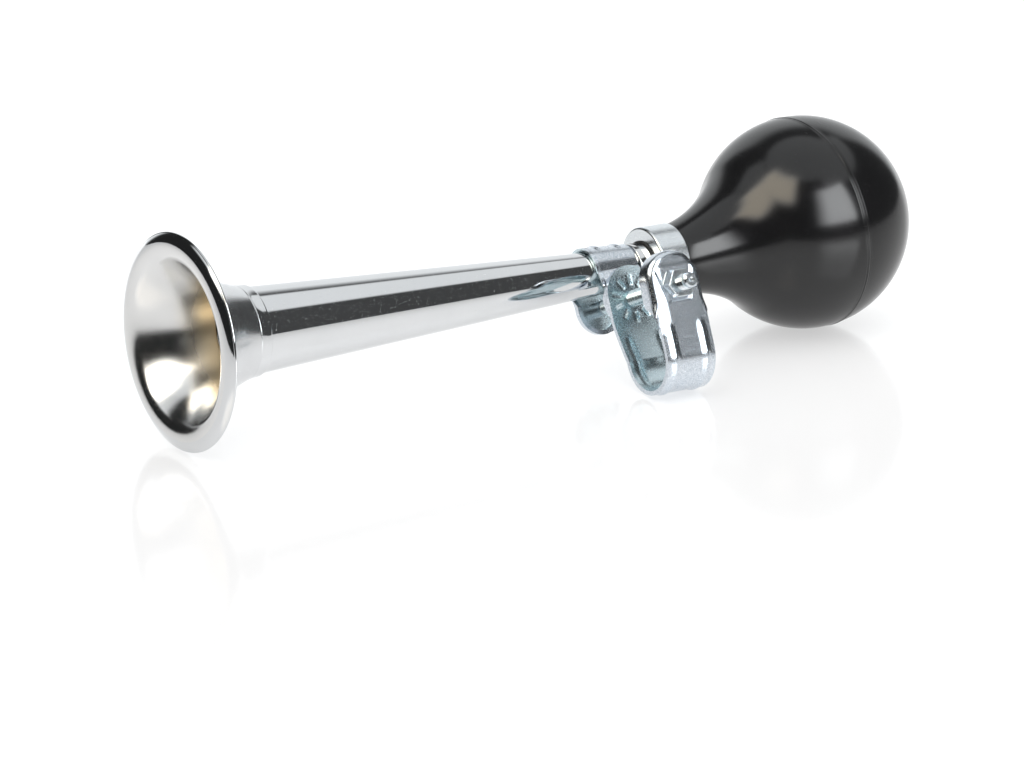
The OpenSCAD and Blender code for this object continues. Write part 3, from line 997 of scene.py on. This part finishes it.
bm = bmesh.new()
bmesh.ops.create_grid(bm, x_segments=4, y_segments=4, size=TABLE_HALF)
bmesh.ops.translate(bm, verts=bm.verts, vec=(0, TABLE_HALF - TABLE_FRONT, 0))
bmesh.ops.rotate(bm, verts=bm.verts, cent=(0, 0, 0), matrix=Matrix.Rotation(-YAW, 3, "Z"))
mesh = bpy.data.meshes.new("table")
bm.to_mesh(mesh)
bm.free()
table = bpy.data.objects.new("table", mesh)
bpy.context.scene.collection.objects.link(table)

white = finish(
    "table_gloss", (0.50, 0.50, 0.50), (0.52, 0.52, 0.52), (0.09, 0.13),
    metal=0, fine=300, patch=3,
)
nt = white.node_tree
glow = nt.nodes["Principled BSDF"]
glow.inputs["Emission Color"].default_value = (1, 1, 1, 1)
far = nt.nodes.new("ShaderNodeVectorMath")
far.operation = "DOT_PRODUCT"
far.inputs[1].default_value = (sin(YAW), cos(YAW), 0)
nt.links.new(nt.nodes.new("ShaderNodeTexCoord").outputs["Object"], far.inputs[0])
fade = stretch(nt, far.outputs["Value"], -0.16, 0.06, 0.46, 0.52)
nt.links.new(fade, glow.inputs["Emission Strength"])
mesh.materials.append(white)
print("table ready")

# %% [markdown]
# ## The light
# Chrome shows the room, so the room is drawn for glossy rays only: dark, and darker on the left,
# with a bright scrim overhead, a white wall behind on the right, a tall soft box in front, a
# wide warm one on the left and a dim strip beside it. Their places were worked out from what the
# bulb and the barrel mirror, and are given in degrees. The camera and the diffuse light see
# plain white.

# %% World directions
world = bpy.data.worlds.new("studio")
bpy.context.scene.world = world
world.use_nodes = True
world.cycles.sampling_method = "NONE"
nt = world.node_tree
nt.nodes.clear()
where = nt.nodes.new("ShaderNodeTexCoord")
parts = nt.nodes.new("ShaderNodeSeparateXYZ")
nt.links.new(where.outputs["Generated"], parts.inputs["Vector"])
toward_x, toward_y, toward_z = (parts.outputs[name] for name in "XYZ")
height = calc(nt, "ARCSINE", toward_z)
behind = calc(nt, "ARCTAN2", toward_x, toward_y)
before = calc(nt, "ARCTAN2", toward_x, calc(nt, "MULTIPLY", toward_y, -1))
print("directions: height, behind, before")

# %% World lights


def edge(value, start, end):
    return stretch(nt, value, radians(start), radians(end), soft=True)


def window(value, low, high, soft):
    opens, closes = edge(value, low - soft, low + soft), edge(value, high + soft, high - soft)
    return calc(nt, "MULTIPLY", opens, closes)


scrim_front = calc(nt, "MULTIPLY", edge(height, 42.5, 46.5), window(before, 0, 120, 4))
scrim = calc(nt, "MAXIMUM", edge(height, 57, 61), scrim_front)
wall = calc(nt, "MULTIPLY", window(behind, -4, 66, 6), edge(height, 49, 32))
tall_across = calc(nt, "MULTIPLY", edge(before, -24, -2), edge(before, 29, 25))
tall = calc(nt, "MULTIPLY", tall_across, window(height, 10, 47, 2))
wide = calc(nt, "MULTIPLY", window(behind, -133, -76, 7), window(height, 34, 62, 6))
strip = calc(nt, "MULTIPLY", window(behind, -82, -40, 5), window(height, 39, 58, 4))

room = stretch(nt, toward_x, -0.3, 0.3, 0.022, 0.07)
for light, strength in ((scrim, 0.86), (wall, 0.95), (tall, 7.0), (wide, 5.5), (strip, 0.9)):
    room = calc(nt, "ADD", room, calc(nt, "MULTIPLY", light, strength))
print("lights: scrim, wall, tall, wide, strip")

# %% World output
COOL, WARM = (0.96, 0.985, 1.0, 1), (1.0, 0.90, 0.74, 1)

plain, mirrored = nt.nodes.new("ShaderNodeBackground"), nt.nodes.new("ShaderNodeBackground")
plain.inputs["Color"].default_value = (1, 1, 1, 1)
nt.links.new(blend(nt, wide, COOL, WARM), mirrored.inputs["Color"])
nt.links.new(room, mirrored.inputs["Strength"])
rays = nt.nodes.new("ShaderNodeLightPath")
either = nt.nodes.new("ShaderNodeMixShader")
out = nt.nodes.new("ShaderNodeOutputWorld")
nt.links.new(rays.outputs["Is Glossy Ray"], either.inputs["Fac"])
nt.links.new(plain.outputs["Background"], either.inputs[1])
nt.links.new(mirrored.outputs["Background"], either.inputs[2])
nt.links.new(either.outputs["Shader"], out.inputs["Surface"])
print("world ready")

# %% [markdown]
# One large lamp over the table gives the soft shadow. Chrome would show it as a square, so
# glossy rays do not see it.

# %% Lamp over the table
LAMP_AT = Vector((-0.3, -0.4, 1.8))

data = bpy.data.lights.new("soft_lamp", "AREA")
data.shape = "SQUARE"
data.size = 1.6
data.energy = 8
lamp = bpy.data.objects.new("soft_lamp", data)
bpy.context.scene.collection.objects.link(lamp)
lamp.location = LAMP_AT
lamp.rotation_euler = LAMP_AT.to_track_quat("Z", "Y").to_euler()
lamp.visible_glossy = False
bpy.context.scene.view_settings.view_transform = "Standard"
print("lamp ready")
